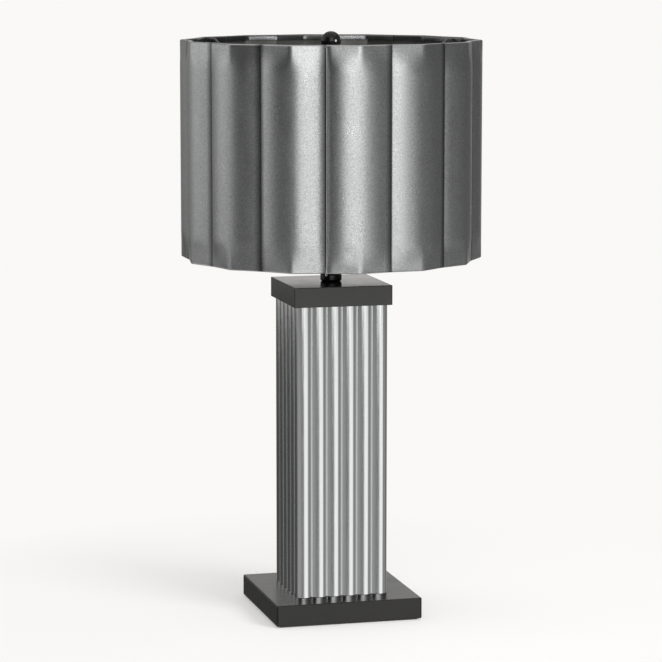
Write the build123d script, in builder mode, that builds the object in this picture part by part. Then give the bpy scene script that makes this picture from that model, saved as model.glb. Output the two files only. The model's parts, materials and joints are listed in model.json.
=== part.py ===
"""Column table lamp.

A fluted square metal column stands between a black lacquered base and cap. A hollow threaded
rod clamps the stack together and carries a detachable harp, a turn-knob lampholder and a bulb.
A drum shade of scalloped velvet hangs from a spider, held on the harp by a ball finial.

Millimetres, +Z up. The origin is the middle of the base's underside, on the table, and the
front of the lamp looks along -Y.
"""

import os
from math import atan2, cos, degrees, hypot, pi, radians, sin, sqrt

from build123d import *

# ---------------------------------------------------------------- driving dimensions
# base and felt
BASE_SIDE = 177.0
BASE_THICKNESS = 25.0
BASE_CORNER_RADIUS = 2.5
BASE_EDGE_RADIUS = 1.6
BASE_UNDERSIDE_CHAMFER = 0.8
FELT_THICKNESS = 1.5
FELT_INSET = 4.0
NUT_RECESS_RADIUS = 24.0
NUT_RECESS_DEPTH = 13.0
CHANNEL_WIDTH = 9.0

# cord inlet at the back of the base
INLET_BORE = 7.0
INLET_WALL = 2.4
INLET_LENGTH = 16.0
INLET_FLANGE_WIDTH = 2.4
INLET_FLANGE_THICKNESS = 2.0

# fluted column
COLUMN_LENGTH = 347.0
COLUMN_SIDE = 112.0
FULL_REEDS_PER_SIDE = 4
REED_PITCH = 18.3
REED_DEPTH = 3.9
REED_VALLEY_RADIUS = 0.9
SHEET_THICKNESS = 1.2
END_PLATE_THICKNESS = 6.0
END_PLATE_CORNER = 5.0

# countersunk screws at the corners of a square, which hold the end plates
SCREW_SHANK_DIAMETER = 4.0
SCREW_HEAD_DIAMETER = 8.0
SCREW_LENGTH = 18.0
SCREW_SQUARE_SIDE = 60.0

# cap
CAP_OVERHANG = 3.4
CAP_THICKNESS = 23.5
CAP_CORNER_RADIUS = 1.2
CAP_EDGE_RADIUS = 0.8

# threaded rod and its fastenings
ROD_DIAMETER = 9.7
ROD_BORE = 6.7
NUT_WIDTH = 14.3
NUT_HEIGHT = 4.5
NUT_CHAMFER_WIDTH = 1.0
NUT_CHAMFER_DEPTH = 0.5
WASHER_THICKNESS = 1.5
BASE_WASHER_DIAMETER = 30.0
CAP_WASHER_DIAMETER = 18.0
ROD_END_LENGTH = 2.5

# neck collar
COLLAR_DIAMETER = 25.4
COLLAR_HEIGHT = 10.0
COLLAR_EDGE_RADIUS = 2.6
COLLAR_RECESS_CLEARANCE = 0.5

# harp, its saddle and its ferrules
SADDLE_THICKNESS = 2.0
SADDLE_WIDTH = 9.0
SADDLE_BOSS_DIAMETER = 22.0
LUG_THICKNESS = 1.6
LUG_WIDTH = 5.0
LUG_HEIGHT = 15.0
HARP_WIRE_DIAMETER = 4.0
HARP_HEIGHT = 254.0
HARP_HALF_SPREAD_WIDTH = 27.0
HARP_HALF_WIDTH = 57.0
HARP_LEG_LENGTH = 45.0
HARP_FLARE_HEIGHT = 50.0
HARP_CROWN_HEIGHT = 46.0
HARP_CROWN_WIDTH = 27.0
HARP_LEG_BEND_RADIUS = 40.0
HARP_FLARE_BEND_RADIUS = 150.0
HARP_SIDE_BEND_RADIUS = 100.0
HARP_CROWN_BEND_RADIUS = 40.0
HARP_FOOT_CLEARANCE = 1.5
FERRULE_WALL = 0.9
FERRULE_HEIGHT = 15.0
BRIDGE_LENGTH = 20.0
BRIDGE_THICKNESS = 2.0
BRIDGE_CHEEK_DEPTH = 3.4
STUD_DIAMETER = 6.35
STUD_CHAMFER = 0.6

# lampholder
HOLDER_DOME_DIAMETER = 35.6
HOLDER_DOME_HEIGHT = 18.0
HOLDER_HUB_DIAMETER = 15.0
HOLDER_HUB_HEIGHT = 8.0
HOLDER_WALL = 0.8
HOLDER_SHELL_HEIGHT = 50.0
HOLDER_SHELL_LAP = 6.0
HOLDER_BEAD_RADIUS = 0.7
HOLDER_LOWER_BEAD_HEIGHT = 15.0
LINER_WALL = 0.8
SCREW_SHELL_WALL = 0.4
SCREW_SHELL_HEIGHT = 25.0
HOLDER_BODY_HEIGHT = 20.0
HOLDER_BODY_EDGE_RADIUS = 1.5
CENTRE_CONTACT_RADIUS = 3.2
CENTRE_CONTACT_HEIGHT = 2.0
CENTRE_CONTACT_EDGE_RADIUS = 0.65
TERMINAL_HEAD_DIAMETER = 6.0
TERMINAL_HEAD_HEIGHT = 1.4
TERMINAL_SHANK_DIAMETER = 3.0
TERMINAL_SHANK_LENGTH = 2.5

# turn knob
SHAFT_DIAMETER = 4.0
SHAFT_INNER_LENGTH = 9.8
SHAFT_HOLE_CLEARANCE = 0.4
KNOB_DIAMETER = 11.0
KNOB_LENGTH = 14.0
KNOB_BORE_DEPTH = 7.0
KNOB_STANDOFF_LENGTH = 4.0
KNOB_EDGE_RADIUS = 0.6
KNOB_FLUTES = 10
KNOB_FLUTE_RADIUS = 1.1

# bulb
BULB_CAP_DIAMETER = 26.2
BULB_CAP_HEIGHT = 25.0
BULB_CAP_WALL = 0.5
BULB_DIAMETER = 60.0
BULB_LENGTH = 110.0
BULB_NECK_DIAMETER = 28.0
BULB_SHOULDER_ANGLE = 36.0
BULB_GLASS_WALL = 0.9
BULB_INSULATOR_HEIGHT = 3.0
BULB_INSULATOR_MARGIN = 1.0
BULB_TIP_RADIUS = 4.8
BULB_TIP_HEIGHT = 1.6

# shade
SHADE_DIAMETER = 356.0
SHADE_HEIGHT = 255.0
SCALLOPS = 14
SCALLOP_VALLEY_DEPTH = 6.0
SCALLOP_BULGE = 2.8
SHADE_CLOCKING = -3.8
COVER_THICKNESS = 1.6
BACKING_THICKNESS = 0.6
TRIM_HEIGHT = 6.0
TRIM_THICKNESS = 0.8
RING_WIRE_DIAMETER = 3.0
RING_CORNER_RADIUS = 6.0

# spider and finial
SPIDER_ARMS = 3
SPIDER_CLOCKING = -105.0
SPIDER_WIRE_DIAMETER = 2.8
SPIDER_DROP_HEIGHT = 12.7
SPIDER_SHOULDER_LENGTH = 8.0
SPIDER_BEND_RADIUS = 5.0
SPIDER_SLIT_WIDTH = 6.0
HUB_DIAMETER = 30.0
HUB_THICKNESS = 1.5
FINIAL_BALL_DIAMETER = 23.4
FINIAL_COLLAR_DIAMETER = 13.0
FINIAL_COLLAR_HEIGHT = 4.6
FINIAL_INSERT_DIAMETER = 9.0
FINIAL_INSERT_LENGTH = 11.0
STUD_THREAD_LENGTH = 9.4

# clearances
FIT = 0.05
SLIP = 0.15
SEAT = 0.3
ROD_HOLE_CLEARANCE = 0.3
HUB_HOLE_CLEARANCE = 0.5
THREAD_CLEARANCE = 0.3

# ---------------------------------------------------------------- levels and derived sizes
base_bottom = FELT_THICKNESS
base_top = base_bottom + BASE_THICKNESS
column_top = base_top + COLUMN_LENGTH
cap_top = column_top + CAP_THICKNESS
collar_top = cap_top + COLLAR_HEIGHT
saddle_top = collar_top + SADDLE_THICKNESS
harp_foot = saddle_top + HARP_FOOT_CLEARANCE
harp_seat = harp_foot + HARP_HEIGHT
hub_bottom = harp_seat + SEAT
hub_top = hub_bottom + HUB_THICKNESS
finial_bottom = hub_top + SEAT

half_column = COLUMN_SIDE / 2
cap_side = 2 * (half_column + CAP_OVERHANG)
rod_radius = ROD_DIAMETER / 2
rod_hole = rod_radius + ROD_HOLE_CLEARANCE
nut_bore = rod_radius + FIT

recess_ceiling = base_bottom + NUT_RECESS_DEPTH
base_nut_top = recess_ceiling - WASHER_THICKNESS
rod_bottom = base_nut_top - NUT_HEIGHT - ROD_END_LENGTH

wire_radius = HARP_WIRE_DIAMETER / 2
lug_inside = HARP_HALF_SPREAD_WIDTH + wire_radius + SLIP
lug_outside = lug_inside + LUG_THICKNESS
ferrule_centre = (HARP_HALF_SPREAD_WIDTH - wire_radius + lug_outside) / 2
ferrule_bore = hypot(lug_outside - ferrule_centre, LUG_WIDTH / 2) + SEAT
ferrule_bottom = saddle_top + SEAT

holder_radius = HOLDER_DOME_DIAMETER / 2
dome_top = saddle_top + HOLDER_DOME_HEIGHT
shell_outer = holder_radius - HOLDER_WALL - SLIP
shell_bottom = dome_top - HOLDER_SHELL_LAP
shell_top = shell_bottom + HOLDER_SHELL_HEIGHT
bead_levels = (dome_top + HOLDER_LOWER_BEAD_HEIGHT, shell_top - HOLDER_BEAD_RADIUS)
liner_outer = shell_outer - HOLDER_WALL - SLIP
body_radius = liner_outer - LINER_WALL - SLIP
body_bottom = shell_bottom + SLIP
body_top = body_bottom + HOLDER_BODY_HEIGHT
rod_top = body_bottom - SEAT

bulb_cap_radius = BULB_CAP_DIAMETER / 2
screw_shell_bore = bulb_cap_radius + THREAD_CLEARANCE
contact_top = body_top + CENTRE_CONTACT_HEIGHT
bulb_tip = contact_top + SEAT
insulator_bottom = bulb_tip + BULB_TIP_HEIGHT
bulb_cap_bottom = insulator_bottom + BULB_INSULATOR_HEIGHT
bulb_cap_top = bulb_cap_bottom + BULB_CAP_HEIGHT
knob_axis_height = body_bottom + HOLDER_BODY_HEIGHT / 2
knob_back = -(holder_radius + KNOB_STANDOFF_LENGTH)

shade_radius = SHADE_DIAMETER / 2
valley_radius = shade_radius - SCALLOP_VALLEY_DEPTH
half_scallop = pi / SCALLOPS
ring_offset = COVER_THICKNESS + BACKING_THICKNESS + 2 * SLIP + RING_WIRE_DIAMETER / 2
arm_level = hub_top + SPIDER_WIRE_DIAMETER / 2
ring_level = arm_level + SPIDER_DROP_HEIGHT
shade_top = ring_level + RING_WIRE_DIAMETER / 2 + SLIP + TRIM_THICKNESS
shade_bottom = shade_top - SHADE_HEIGHT
lower_ring_level = shade_bottom + TRIM_THICKNESS + SLIP + RING_WIRE_DIAMETER / 2
finial_centre = finial_bottom + FINIAL_COLLAR_HEIGHT + sqrt(
    (FINIAL_BALL_DIAMETER / 2) ** 2 - (FINIAL_COLLAR_DIAMETER / 2) ** 2
)


# ---------------------------------------------------------------- shared shapes
def polar(radius, angle):
    """A point at that radius and angle, in radians, about the lamp's axis."""
    return (radius * cos(angle), radius * sin(angle))


def washer(bottom, diameter):
    """A flat washer on the rod."""
    with BuildPart() as made:
        with BuildSketch(Plane.XY.offset(bottom)):
            Circle(diameter / 2)
            Circle(rod_hole, mode=Mode.SUBTRACT)
        extrude(amount=WASHER_THICKNESS)
    return made


def hex_nut(bottom):
    """A thin hexagon nut on the rod, with the corners of its upper face turned off."""
    with BuildPart() as made:
        with BuildSketch(Plane.XY.offset(bottom)):
            RegularPolygon(radius=NUT_WIDTH / 2, side_count=6, major_radius=False)
        extrude(amount=NUT_HEIGHT)
        corner = NUT_WIDTH / sqrt(3)
        top = bottom + NUT_HEIGHT
        with BuildSketch(Plane.XZ):
            with BuildLine():
                Polyline(
                    (corner - NUT_CHAMFER_WIDTH, top),
                    (corner + FIT, top),
                    (corner + FIT, top - NUT_CHAMFER_DEPTH),
                    close=True,
                )
            make_face()
        revolve(axis=Axis.Z, mode=Mode.SUBTRACT)
        with Locations((0, 0, bottom + NUT_HEIGHT)):
            Hole(nut_bore)
    return made


def end_plate(bottom, head_up):
    """A square plate that fills the end of the column, drilled for the rod and four screws."""
    inside = half_column - REED_DEPTH - SHEET_THICKNESS - SEAT
    face = bottom + (END_PLATE_THICKNESS if head_up else 0)
    way = 1 if head_up else -1
    with BuildPart() as made:
        with BuildSketch(Plane.XY.offset(bottom)):
            RectangleRounded(2 * inside, 2 * inside, END_PLATE_CORNER)
        extrude(amount=END_PLATE_THICKNESS)
        with Locations((0, 0, bottom + END_PLATE_THICKNESS)):
            Hole(rod_hole)
        with Locations(Plane(origin=(0, 0, face), z_dir=(0, 0, way))):
            with GridLocations(SCREW_SQUARE_SIDE, SCREW_SQUARE_SIDE, 2, 2):
                CounterSinkHole(SCREW_SHANK_DIAMETER / 2 + SLIP, SCREW_HEAD_DIAMETER / 2 + SLIP)
    return made


def plate_screws(face, way):
    """Four countersunk screws whose heads lie flush in that face of an end plate."""
    head_depth = (SCREW_HEAD_DIAMETER - SCREW_SHANK_DIAMETER) / 2
    with BuildPart() as made:
        with Locations(Plane(origin=(0, 0, face), z_dir=(0, 0, way))):
            with GridLocations(SCREW_SQUARE_SIDE, SCREW_SQUARE_SIDE, 2, 2):
                Cylinder(
                    SCREW_SHANK_DIAMETER / 2,
                    SCREW_LENGTH,
                    align=(Align.CENTER, Align.CENTER, Align.MAX),
                )
                Cone(
                    SCREW_SHANK_DIAMETER / 2,
                    SCREW_HEAD_DIAMETER / 2,
                    head_depth,
                    align=(Align.CENTER, Align.CENTER, Align.MAX),
                )
    return made


def scallop_corners(inset, bulge):
    """Valley and ridge radii of the shade's outline, moved in by inset along its own surface.

    bulge is how far each flank arches out of the straight line from valley to ridge.
    """
    across = shade_radius * sin(half_scallop)
    out = shade_radius * cos(half_scallop) - valley_radius
    chord = hypot(across, out)
    arch = 2 * atan2(2 * bulge, chord)
    lean = atan2(out, across)
    valley = valley_radius - inset / cos(lean + arch)
    ridge = shade_radius - inset / cos(half_scallop + lean - arch)
    return valley, ridge


def scallop_outline(inset, bulge):
    """Draws the shade's outline: two arched flanks to each scallop, or straight ones at bulge 0."""
    valley, ridge = scallop_corners(inset, bulge)
    start = radians(SHADE_CLOCKING)
    corners = []
    for scallop in range(SCALLOPS):
        angle = start + 2 * half_scallop * scallop
        corners.append(Vector(*polar(valley, angle)))
        corners.append(Vector(*polar(ridge, angle + half_scallop)))
    corners.append(corners[0])
    for near, far in zip(corners, corners[1:]):
        if bulge:
            middle = (near + far) / 2
            outward = Vector(far.Y - near.Y, near.X - far.X, 0).normalized()
            ThreePointArc(near, middle + outward * bulge, far)
        else:
            Line(near, far)


def scallop_face(level, inset, bulge):
    """The face inside the shade's outline at that height."""
    with BuildSketch(Plane.XY.offset(level)) as made:
        with BuildLine():
            scallop_outline(inset, bulge)
        make_face()
    return made.sketch


def scallop_sleeve(bottom, top, outer_inset, inner_inset):
    """A thin scalloped sleeve whose flanks are straight at both rims and arched between them."""
    levels = ((bottom, 0.0), ((bottom + top) / 2, SCALLOP_BULGE), (top, 0.0))
    with BuildPart() as made:
        for level, bulge in levels:
            add(scallop_face(level, outer_inset, bulge))
        loft()
        for level, bulge in levels:
            add(scallop_face(level, inner_inset, bulge))
        loft(mode=Mode.SUBTRACT)
    return made


def rolled_trim(rim, way, slits=()):
    """The cover's hem, turned over a ring: a flat lip on the rim and a short wall inside it.

    way is 1 for the upper rim, whose wall hangs down, and -1 for the lower one. The wall is slit
    at each angle in slits, where a spider arm passes through it to the ring.
    """
    inner = ring_offset + RING_WIRE_DIAMETER / 2 + SLIP
    down = (0, 0, -way)
    with BuildPart() as made:
        add(scallop_face(rim, 0, 0))
        extrude(amount=TRIM_THICKNESS, dir=down)
        add(scallop_face(rim - way * TRIM_THICKNESS, inner, 0))
        extrude(amount=TRIM_HEIGHT - TRIM_THICKNESS, dir=down)
        add(scallop_face(rim, inner + TRIM_THICKNESS, 0))
        extrude(amount=TRIM_HEIGHT, dir=down, mode=Mode.SUBTRACT)
        for angle in slits:
            with BuildSketch(arm_plane(angle)):
                with Locations((ring_reach(angle), rim - way * TRIM_THICKNESS)):
                    Rectangle(SPIDER_SHOULDER_LENGTH, TRIM_HEIGHT, align=(Align.CENTER, Align.MAX))
            extrude(amount=SPIDER_SLIT_WIDTH / 2, both=True, mode=Mode.SUBTRACT)
    return made


def frame_ring(level):
    """A wire ring bent to the shade's outline, with a corner at each ridge and valley."""
    valley, ridge = scallop_corners(ring_offset, 0)
    start = radians(SHADE_CLOCKING)
    corners = []
    for scallop in range(SCALLOPS):
        angle = start + 2 * half_scallop * scallop
        corners.append((*polar(valley, angle), level))
        corners.append((*polar(ridge, angle + half_scallop), level))
    with BuildPart() as made:
        with BuildLine() as path:
            FilletPolyline(*corners, radius=RING_CORNER_RADIUS, close=True)
        with BuildSketch(Plane(origin=path.line @ 0, z_dir=path.line % 0)):
            Circle(RING_WIRE_DIAMETER / 2)
        sweep()
    return made


def ring_reach(angle):
    """How far an arm may reach at that angle, in radians, and still stop short of the ring."""
    valley, ridge = scallop_corners(ring_offset, 0)
    turn = (angle - radians(SHADE_CLOCKING)) % (2 * half_scallop)
    if turn > half_scallop:
        turn = 2 * half_scallop - turn
    corner = Vector(*polar(ridge, half_scallop))
    flank = atan2(corner.Y, corner.X - valley)
    slant = sin(flank - turn)
    middle = valley * sin(flank) / slant
    half_arm = SPIDER_WIRE_DIAMETER / 2 * abs(cos(flank - turn))
    return middle - (RING_WIRE_DIAMETER / 2 + SLIP + half_arm) / slant


def arm_plane(angle):
    """An upright plane through the lamp's axis, whose X runs out along a spider arm."""
    return Plane(
        origin=(0, 0, 0),
        x_dir=(cos(angle), sin(angle), 0),
        z_dir=(sin(angle), -cos(angle), 0),
    )


def tube(bottom, height, outer, bore):
    """A round tube about the lamp's axis."""
    with BuildPart() as made:
        with BuildSketch(Plane.XY.offset(bottom)):
            Circle(outer)
            Circle(bore, mode=Mode.SUBTRACT)
        extrude(amount=height)
    return made


# ---------------------------------------------------------------- base
inlet_height = base_bottom + BASE_THICKNESS / 2
inlet_outer = INLET_BORE / 2 + INLET_WALL
channel_end = BASE_SIDE / 2 - INLET_LENGTH

with BuildPart() as base_plate:
    with BuildSketch(Plane.XY.offset(base_bottom)):
        RectangleRounded(BASE_SIDE, BASE_SIDE, BASE_CORNER_RADIUS)
    extrude(amount=BASE_THICKNESS)
    fillet(base_plate.edges().group_by(Axis.Z)[-1], BASE_EDGE_RADIUS)
    chamfer(base_plate.edges().group_by(Axis.Z)[0], BASE_UNDERSIDE_CHAMFER)
    with BuildSketch(Plane.XY.offset(base_bottom)):
        Circle(NUT_RECESS_RADIUS)
    extrude(amount=NUT_RECESS_DEPTH, mode=Mode.SUBTRACT)
    # the channel that leads the cord from the inlet to the rod
    with BuildSketch(Plane.XY.offset(base_bottom)):
        with Locations((0, channel_end / 2)):
            Rectangle(CHANNEL_WIDTH, channel_end)
    extrude(amount=inlet_height - base_bottom + CHANNEL_WIDTH / 2, mode=Mode.SUBTRACT)
    with BuildSketch(Plane(origin=(0, BASE_SIDE / 2, inlet_height), z_dir=(0, 1, 0))):
        Circle(inlet_outer + FIT)
    extrude(amount=-INLET_LENGTH, mode=Mode.SUBTRACT)
    with Locations((0, 0, base_top)):
        Hole(rod_hole)
        with GridLocations(SCREW_SQUARE_SIDE, SCREW_SQUARE_SIDE, 2, 2):
            Hole(SCREW_SHANK_DIAMETER / 2 + FIT, depth=SCREW_LENGTH - END_PLATE_THICKNESS + SEAT)

with BuildPart() as felt_pad:
    with BuildSketch():
        RectangleRounded(
            BASE_SIDE - 2 * FELT_INSET, BASE_SIDE - 2 * FELT_INSET, BASE_CORNER_RADIUS
        )
    extrude(amount=FELT_THICKNESS)

with BuildPart() as cord_inlet:
    with BuildSketch(Plane(origin=(0, BASE_SIDE / 2, inlet_height), z_dir=(0, 1, 0))):
        Circle(inlet_outer + INLET_FLANGE_WIDTH)
    extrude(amount=INLET_FLANGE_THICKNESS)
    fillet(cord_inlet.edges().group_by(Axis.Y)[-1], INLET_FLANGE_THICKNESS / 2)
    with BuildSketch(Plane(origin=(0, BASE_SIDE / 2, inlet_height), z_dir=(0, 1, 0))):
        Circle(inlet_outer)
    extrude(amount=-INLET_LENGTH)
    with BuildSketch(
        Plane(origin=(0, BASE_SIDE / 2 + INLET_FLANGE_THICKNESS, inlet_height), z_dir=(0, 1, 0))
    ):
        Circle(INLET_BORE / 2)
    extrude(amount=-INLET_LENGTH - INLET_FLANGE_THICKNESS, mode=Mode.SUBTRACT)

# ---------------------------------------------------------------- fluted column
outer_valley = FULL_REEDS_PER_SIDE * REED_PITCH / 2
corner_radius = (half_column - outer_valley) / 2
corner_crest = half_column - corner_radius


def reed_drop(half_width, share):
    """How far below its crest a reed's arc is at that share of its half width."""
    radius = (half_width**2 + REED_DEPTH**2) / (2 * REED_DEPTH)
    return radius - sqrt(radius**2 - (share * half_width) ** 2)


def fluted_side(side):
    """One side of the column's outline: half a corner reed, the full reeds, and the next corner."""
    half_reed_drop = reed_drop(corner_radius, 0.5)
    front = -half_column
    arcs = [
        (
            (-corner_crest, front),
            (-corner_crest + corner_radius / 2, front + half_reed_drop),
            (-outer_valley, front + REED_DEPTH),
        )
    ]
    for reed in range(FULL_REEDS_PER_SIDE):
        left = -outer_valley + REED_PITCH * reed
        arcs.append(
            (
                (left, front + REED_DEPTH),
                (left + REED_PITCH / 2, front),
                (left + REED_PITCH, front + REED_DEPTH),
            )
        )
    arcs.append(
        (
            (outer_valley, front + REED_DEPTH),
            (corner_crest - corner_radius / 2, front + half_reed_drop),
            (corner_crest, front),
        )
    )
    reach = corner_radius * cos(pi / 4)
    arcs.append(
        (
            (corner_crest, front),
            (corner_crest + reach, -corner_crest - reach),
            (half_column, -corner_crest),
        )
    )
    for arc in arcs:
        ThreePointArc(*(Vector(*point).rotate(Axis.Z, 90 * side) for point in arc))


valley_line = half_column - REED_DEPTH

with BuildPart() as column_shell:
    with BuildSketch(Plane.XY.offset(base_top)) as column_section:
        with BuildLine():
            for side in range(4):
                fluted_side(side)
        make_face()
        valleys = column_section.vertices().filter_by(
            lambda corner: abs(max(abs(corner.X), abs(corner.Y)) - valley_line) < FIT
        )
        fillet(valleys, REED_VALLEY_RADIUS)
        offset(amount=-SHEET_THICKNESS, mode=Mode.SUBTRACT)
    extrude(amount=COLUMN_LENGTH)

column_lower_plate = end_plate(base_top, head_up=True)
column_upper_plate = end_plate(column_top - END_PLATE_THICKNESS, head_up=False)
lower_plate_screws = plate_screws(base_top + END_PLATE_THICKNESS, 1)
upper_plate_screws = plate_screws(column_top - END_PLATE_THICKNESS, -1)

with BuildPart() as cap_plate:
    with BuildSketch(Plane.XY.offset(column_top)):
        RectangleRounded(cap_side, cap_side, CAP_CORNER_RADIUS)
    extrude(amount=CAP_THICKNESS)
    fillet(cap_plate.edges().group_by(Axis.Z)[-1], CAP_EDGE_RADIUS)
    fillet(cap_plate.edges().group_by(Axis.Z)[0], CAP_EDGE_RADIUS)
    with Locations((0, 0, cap_top)):
        Hole(rod_hole)
    with Locations(Plane(origin=(0, 0, column_top), z_dir=(0, 0, -1))):
        with GridLocations(SCREW_SQUARE_SIDE, SCREW_SQUARE_SIDE, 2, 2):
            Hole(SCREW_SHANK_DIAMETER / 2 + FIT, depth=SCREW_LENGTH - END_PLATE_THICKNESS + SEAT)

# ---------------------------------------------------------------- rod, nuts and neck
threaded_rod = tube(rod_bottom, rod_top - rod_bottom, rod_radius, ROD_BORE / 2)
base_washer = washer(base_nut_top, BASE_WASHER_DIAMETER)
base_nut = hex_nut(base_nut_top - NUT_HEIGHT)
cap_washer = washer(cap_top, CAP_WASHER_DIAMETER)
cap_nut = hex_nut(cap_top + WASHER_THICKNESS)

with BuildPart() as neck_collar:
    with BuildSketch(Plane.XY.offset(cap_top)):
        Circle(COLLAR_DIAMETER / 2)
    extrude(amount=COLLAR_HEIGHT)
    fillet(neck_collar.edges(), COLLAR_EDGE_RADIUS)
    with BuildSketch(Plane.XY.offset(cap_top)):
        Circle(CAP_WASHER_DIAMETER / 2 + COLLAR_RECESS_CLEARANCE)
    extrude(
        amount=WASHER_THICKNESS + NUT_HEIGHT + COLLAR_RECESS_CLEARANCE,
        mode=Mode.SUBTRACT,
    )
    with Locations((0, 0, collar_top)):
        Hole(rod_hole)

# ---------------------------------------------------------------- harp
with BuildPart() as harp_saddle:
    with BuildSketch(Plane.XZ) as saddle_section:
        with BuildLine():
            Polyline(
                (-lug_outside, saddle_top + LUG_HEIGHT),
                (-lug_outside, collar_top),
                (lug_outside, collar_top),
                (lug_outside, saddle_top + LUG_HEIGHT),
                (lug_inside, saddle_top + LUG_HEIGHT),
                (lug_inside, saddle_top),
                (-lug_inside, saddle_top),
                (-lug_inside, saddle_top + LUG_HEIGHT),
                close=True,
            )
        make_face()
        bends = saddle_section.vertices().group_by(Axis.Y)[0]
        fillet(bends, LUG_THICKNESS)
    extrude(amount=SADDLE_WIDTH / 2, both=True)
    # the lugs are narrower than the strap
    shoulder = saddle_top + SEAT
    with BuildSketch(Plane.YZ):
        for side in (-1, 1):
            with Locations((side * (LUG_WIDTH + SADDLE_WIDTH) / 4, shoulder + LUG_HEIGHT / 2)):
                Rectangle((SADDLE_WIDTH - LUG_WIDTH) / 2, LUG_HEIGHT)
    extrude(amount=lug_outside + SEAT, both=True, mode=Mode.SUBTRACT)
    with BuildSketch(Plane.XY.offset(collar_top)):
        Circle(SADDLE_BOSS_DIAMETER / 2)
    extrude(amount=SADDLE_THICKNESS)
    with Locations((0, 0, saddle_top)):
        Hole(rod_hole)

harp_crown = harp_seat - BRIDGE_THICKNESS - wire_radius
leg_top = harp_foot + HARP_LEG_LENGTH
harp_side = [
    (HARP_HALF_SPREAD_WIDTH, harp_foot),
    (HARP_HALF_SPREAD_WIDTH, leg_top),
    (HARP_HALF_WIDTH, leg_top + HARP_FLARE_HEIGHT),
    (HARP_HALF_WIDTH, harp_crown - HARP_CROWN_HEIGHT),
    (HARP_HALF_WIDTH - HARP_CROWN_WIDTH, harp_crown),
]
harp_bends = [
    HARP_LEG_BEND_RADIUS,
    HARP_FLARE_BEND_RADIUS,
    HARP_SIDE_BEND_RADIUS,
    HARP_CROWN_BEND_RADIUS,
]

with BuildPart() as harp_bow:
    with BuildLine(Plane.XZ) as bow_path:
        FilletPolyline(
            *harp_side,
            *[(-x, z) for x, z in reversed(harp_side)],
            radius=harp_bends + harp_bends[::-1],
        )
    with BuildSketch(Plane(origin=bow_path.line @ 0, z_dir=bow_path.line % 0)):
        Circle(wire_radius)
    sweep()

with BuildPart() as harp_bridge:
    cheek_width = HARP_WIRE_DIAMETER + 2 * (SLIP + BRIDGE_THICKNESS)
    with BuildSketch(Plane.YZ):
        with Locations((0, harp_seat)):
            Rectangle(
                cheek_width,
                BRIDGE_THICKNESS + BRIDGE_CHEEK_DEPTH,
                align=(Align.CENTER, Align.MAX),
            )
        with Locations((0, harp_seat - BRIDGE_THICKNESS)):
            Rectangle(
                HARP_WIRE_DIAMETER + 2 * SLIP,
                BRIDGE_CHEEK_DEPTH,
                align=(Align.CENTER, Align.MAX),
                mode=Mode.SUBTRACT,
            )
    extrude(amount=BRIDGE_LENGTH / 2, both=True)
    with Locations((0, 0, harp_seat)):
        Hole(STUD_DIAMETER / 2 + FIT)

with BuildPart() as harp_stud:
    with BuildSketch(Plane.XY.offset(harp_seat - BRIDGE_THICKNESS)):
        Circle(STUD_DIAMETER / 2)
    extrude(amount=finial_bottom + STUD_THREAD_LENGTH - harp_seat + BRIDGE_THICKNESS)
    chamfer(harp_stud.edges().group_by(Axis.Z)[-1], STUD_CHAMFER)


def ferrule(side):
    """A sliding sleeve that locks one foot of the harp to its lug."""
    with BuildPart() as made:
        with BuildSketch(Plane.XY.offset(ferrule_bottom)):
            with Locations((side * ferrule_centre, 0)):
                Circle(ferrule_bore + FERRULE_WALL)
        extrude(amount=FERRULE_HEIGHT)
        fillet(made.edges(), FERRULE_WALL / 2)
        with BuildSketch(Plane.XY.offset(ferrule_bottom)):
            with Locations((side * ferrule_centre, 0)):
                Circle(ferrule_bore)
        extrude(amount=FERRULE_HEIGHT, mode=Mode.SUBTRACT)
    return made


ferrule_left = ferrule(-1)
ferrule_right = ferrule(1)

# ---------------------------------------------------------------- lampholder
hub_radius = HOLDER_HUB_DIAMETER / 2
hub_height = saddle_top + HOLDER_HUB_HEIGHT

with BuildPart() as holder_dome:
    with BuildSketch(Plane.XZ):
        with BuildLine():
            Polyline(
                (nut_bore, saddle_top),
                (hub_radius, saddle_top),
                (hub_radius, saddle_top + HOLDER_WALL),
                (holder_radius, shell_bottom - 2 * HOLDER_WALL),
                (holder_radius, dome_top),
                (holder_radius - HOLDER_WALL, dome_top),
                (holder_radius - HOLDER_WALL, shell_bottom - HOLDER_WALL),
                (hub_radius, hub_height - HOLDER_HUB_HEIGHT / 2),
                (hub_radius - HOLDER_WALL, hub_height),
                (nut_bore, hub_height),
                close=True,
            )
        make_face()
    revolve()

shaft_hole = SHAFT_DIAMETER / 2 + SHAFT_HOLE_CLEARANCE
shaft_plane = Plane(origin=(0, 0, knob_axis_height), z_dir=(0, -1, 0))

with BuildPart() as holder_shell:
    with BuildSketch(Plane.XY.offset(shell_bottom)):
        Circle(shell_outer)
    extrude(amount=HOLDER_SHELL_HEIGHT)
    # rolled beads round the middle and the mouth
    with BuildSketch(Plane.XZ):
        with Locations(*[(shell_outer, level) for level in bead_levels]):
            Circle(HOLDER_BEAD_RADIUS)
    revolve()
    with BuildSketch(Plane.XY.offset(shell_bottom)):
        Circle(shell_outer - HOLDER_WALL)
    extrude(amount=HOLDER_SHELL_HEIGHT, mode=Mode.SUBTRACT)
    with BuildSketch(shaft_plane):
        Circle(shaft_hole)
    extrude(amount=holder_radius, mode=Mode.SUBTRACT)

with BuildPart() as holder_liner:
    with BuildSketch(Plane.XY.offset(shell_bottom)):
        Circle(liner_outer)
        Circle(liner_outer - LINER_WALL, mode=Mode.SUBTRACT)
    extrude(amount=HOLDER_SHELL_HEIGHT - SEAT)
    with BuildSketch(shaft_plane):
        Circle(shaft_hole)
    extrude(amount=holder_radius, mode=Mode.SUBTRACT)

terminal_seat = body_radius - TERMINAL_HEAD_HEIGHT - SEAT


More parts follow.
